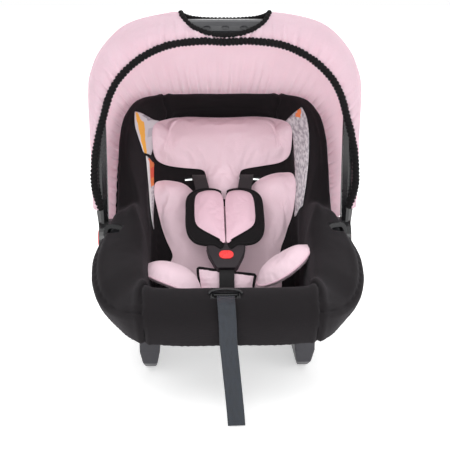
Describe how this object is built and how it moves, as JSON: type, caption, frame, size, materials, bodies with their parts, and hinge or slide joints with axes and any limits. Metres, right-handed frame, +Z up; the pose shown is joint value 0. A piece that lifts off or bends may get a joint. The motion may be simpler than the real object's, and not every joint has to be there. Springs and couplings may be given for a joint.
{
  "type": "infant car seat",
  "caption": "Infant carrier car seat with a folding carry handle, gathered fabric canopy, padded inserts and a buckled harness.",
  "frame": {"origin": "on the floor, under the middle of the seat's bounding box", "axes": "+Z up, -Y towards the foot end, +X to the right of someone facing the seat from its foot end"},
  "size_m": [0.4526, 0.5975, 0.5782],
  "materials": {
    "shell_plastic": "fine-textured black plastic",
    "rocker_plastic": "satin dark grey plastic",
    "black_fabric": "fine black polyester knit",
    "pink_fabric": "soft pale pink knit",
    "webbing": "woven polyester webbing",
    "steel": "plated",
    "red_plastic": "glossy red",
    "printed_tag": "plain woven tag",
    "black_elastic": "gathered elastic binding"
  },
  "bodies": {
    "seat": {"seat_shell": "shell_plastic", "rocker_left": "rocker_plastic", "rocker_right": "rocker_plastic", "seat_cover": "black_fabric", "head_cushion": "pink_fabric", "body_insert": "pink_fabric", "label_left": "printed_tag", "label_right": "printed_tag", "hub_socket_left": "shell_plastic", "hub_socket_right": "shell_plastic", "button_spring_left": "steel", "button_spring_right": "steel", "handle_pivot_bolt_left": "steel", "handle_pivot_bolt_right": "steel", "belt_guide_left": "shell_plastic", "belt_guide_right": "shell_plastic", "belt_guide_rear": "shell_plastic", "harness_yoke": "steel", "shoulder_strap_left": "webbing", "shoulder_strap_right": "webbing", "shoulder_pad_left": "pink_fabric", "shoulder_pad_right": "pink_fabric", "buckle_front": "shell_plastic", "buckle_back": "shell_plastic", "buckle_spring": "steel", "buckle_latch": "steel", "crotch_strap": "webbing", "crotch_anchor": "steel", "crotch_pad": "pink_fabric", "adjuster_housing": "shell_plastic", "adjuster_pin": "steel", "adjuster_strap": "webbing", "canopy": "pink_fabric", "front_elastic": "black_elastic", "rear_elastic": "black_elastic", "grip_opening_elastic": "black_elastic"},
    "handle": {"handle_arch": "shell_plastic", "handle_grip": "rocker_plastic"},
    "handle_button_left": {"handle_button_left": "red_plastic"},
    "handle_button_right": {"handle_button_right": "red_plastic"},
    "lock_gear_left": {"lock_gear_left": "rocker_plastic"},
    "lock_gear_right": {"lock_gear_right": "rocker_plastic"},
    "buckle_button": {"buckle_button": "red_plastic"},
    "adjuster_lever": {"adjuster_lever": "rocker_plastic"},
    "buckle_tongue_left": {"buckle_tongue_left": "steel"},
    "buckle_tongue_right": {"buckle_tongue_right": "steel"}
  },
  "joints": [
    {"name": "handle_fold", "type": "hinge", "parent": "seat", "child": "handle", "pos_m": [0, 0.0239, 0.2], "axis": [-1, 0, 0], "range_deg": [0, 112], "deforming": ["canopy", "front_elastic", "rear_elastic", "grip_opening_elastic"]},
    {"name": "handle_button_left_press", "type": "slide", "parent": "handle", "child": "handle_button_left", "axis": [1, 0, 0], "range_m": [0, 0.0032], "stiffness_N_per_m": 900, "springref_m": -0.001},
    {"name": "handle_button_right_press", "type": "slide", "parent": "handle", "child": "handle_button_right", "axis": [-1, 0, 0], "range_m": [0, 0.0032], "stiffness_N_per_m": 900, "springref_m": -0.001},
    {"name": "lock_gear_left_release", "type": "slide", "parent": "seat", "child": "lock_gear_left", "axis": [1, 0, 0], "range_m": [0, 0.0032], "deforming": ["button_spring_left"]},
    {"name": "lock_gear_right_release", "type": "slide", "parent": "seat", "child": "lock_gear_right", "axis": [-1, 0, 0], "range_m": [0, 0.0032], "deforming": ["button_spring_right"]},
    {"name": "buckle_press", "type": "slide", "parent": "seat", "child": "buckle_button", "axis": [0, 0.5446, -0.8387], "range_m": [0, 0.0036], "stiffness_N_per_m": 1200, "springref_m": -0.001, "deforming": ["buckle_spring"]},
    {"name": "adjuster_press", "type": "hinge", "parent": "seat", "child": "adjuster_lever", "pos_m": [-0.008, -0.24891, 0.18294], "axis": [-1, 0, 0], "range_deg": [0, 6], "stiffness_Nm_per_rad": 0.2, "springref_deg": -2.86},
    {"name": "tongue_left_pull", "type": "slide", "parent": "seat", "child": "buckle_tongue_left", "axis": [0, 0.8387, 0.5446], "range_m": [0, 0.022], "deforming": ["shoulder_strap_left", "shoulder_pad_left"]},
    {"name": "tongue_right_pull", "type": "slide", "parent": "seat", "child": "buckle_tongue_right", "axis": [0, 0.8387, 0.5446], "range_m": [0, 0.022], "deforming": ["shoulder_strap_right", "shoulder_pad_right"]}
  ],
  "couplings": [
    {"joint": "lock_gear_left_release", "follows": "handle_button_left_press", "ratio": 1},
    {"joint": "lock_gear_right_release", "follows": "handle_button_right_press", "ratio": 1}
  ]
}
